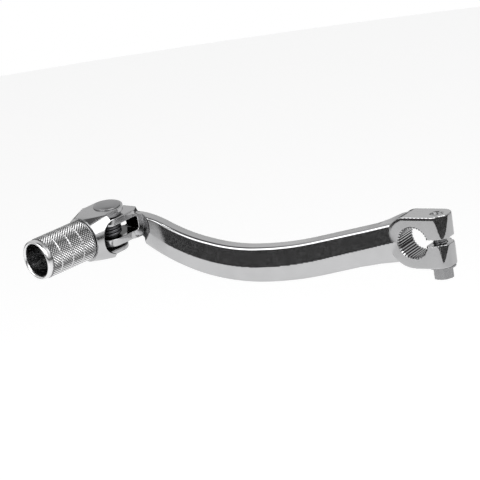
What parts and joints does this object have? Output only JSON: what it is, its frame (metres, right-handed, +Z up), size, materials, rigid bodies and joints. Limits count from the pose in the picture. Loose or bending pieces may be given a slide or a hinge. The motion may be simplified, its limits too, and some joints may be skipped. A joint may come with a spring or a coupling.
{
  "type": "motorcycle gear shift lever",
  "caption": "Curved aluminium foot lever with a splined pinch clamp at one end and a spring-loaded knurled toe peg that folds on a riveted pin at the other.",
  "frame": {"origin": "centre of the splined bore, half way across the clamp", "axes": "+Z up when fitted; +Y inboard along the gear shaft, towards the engine; -X forward, from the clamp to the toe peg; -Y outboard"},
  "size_m": [0.1649, 0.0832, 0.0414],
  "materials": {
    "forging": "polished",
    "peg": "satin",
    "hardware": "zinc plated",
    "pin": "brushed",
    "bush": "turned",
    "spring": "blackened"
  },
  "bodies": {
    "lever": {"arm": "forging", "pinch_bolt": "hardware", "bolt_washer": "hardware", "return_spring": "spring"},
    "toe": {"toe_peg": "peg", "pivot_pin": "pin", "pivot_bush": "bush"}
  },
  "joints": [
    {"name": "toe_fold", "type": "hinge", "parent": "lever", "child": "toe", "pos_m": [-0.1302, -0.034, 0.0128], "axis": [0.0761, -0.1125, 0.9907], "range_deg": [0, 90], "stiffness_Nm_per_rad": 0.3, "springref_deg": -34.38, "deforming": ["return_spring"]}
  ]
}
